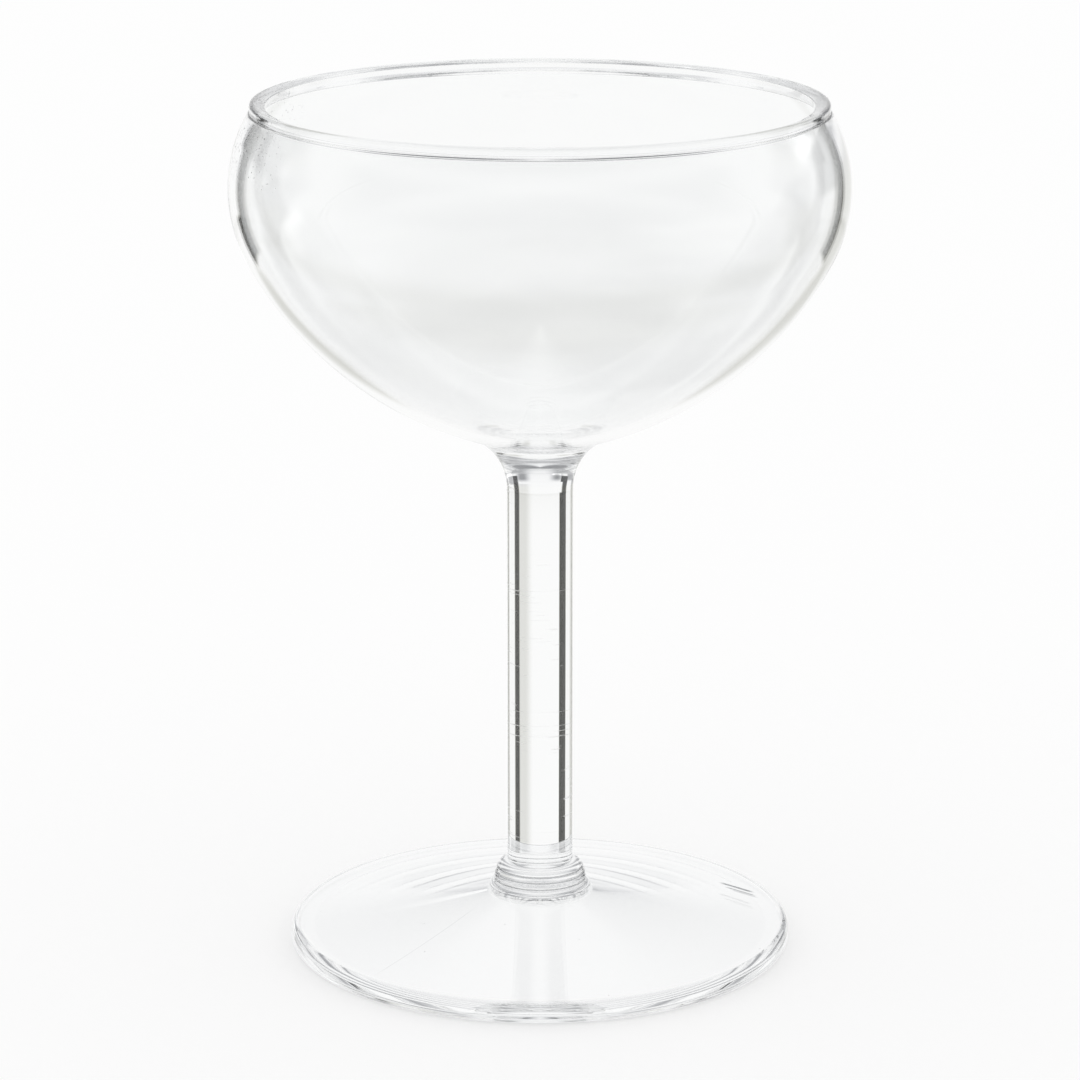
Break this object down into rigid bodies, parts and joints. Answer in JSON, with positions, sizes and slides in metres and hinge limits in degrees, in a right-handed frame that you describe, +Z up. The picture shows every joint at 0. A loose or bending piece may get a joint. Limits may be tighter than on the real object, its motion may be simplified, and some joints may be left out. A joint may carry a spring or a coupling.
{
  "type": "margarita glass",
  "caption": "Clear margarita glass: a blown round bowl with an in-turned shoulder and a rounded lip, fused to a solid stem that stands on the ringed, domed collar of a pressed, dished foot.",
  "frame": {"origin": "centre of the flat ring under the foot, on the surface that the glass stands on", "axes": "+Z up along the axis of the stem, +X to the right and +Y away from the viewer in the picture's view"},
  "size_m": [0.116, 0.116, 0.164],
  "materials": {
    "clear_bowl": "clear blown glass with a fire-polished lip",
    "clear_stem": "clear solid glass with faint drawing marks",
    "clear_foot": "clear pressed glass, lightly scratched in use"
  },
  "bodies": {
    "root": {"bowl": "clear_bowl", "stem": "clear_stem", "foot": "clear_foot"}
  },
  "joints": []
}
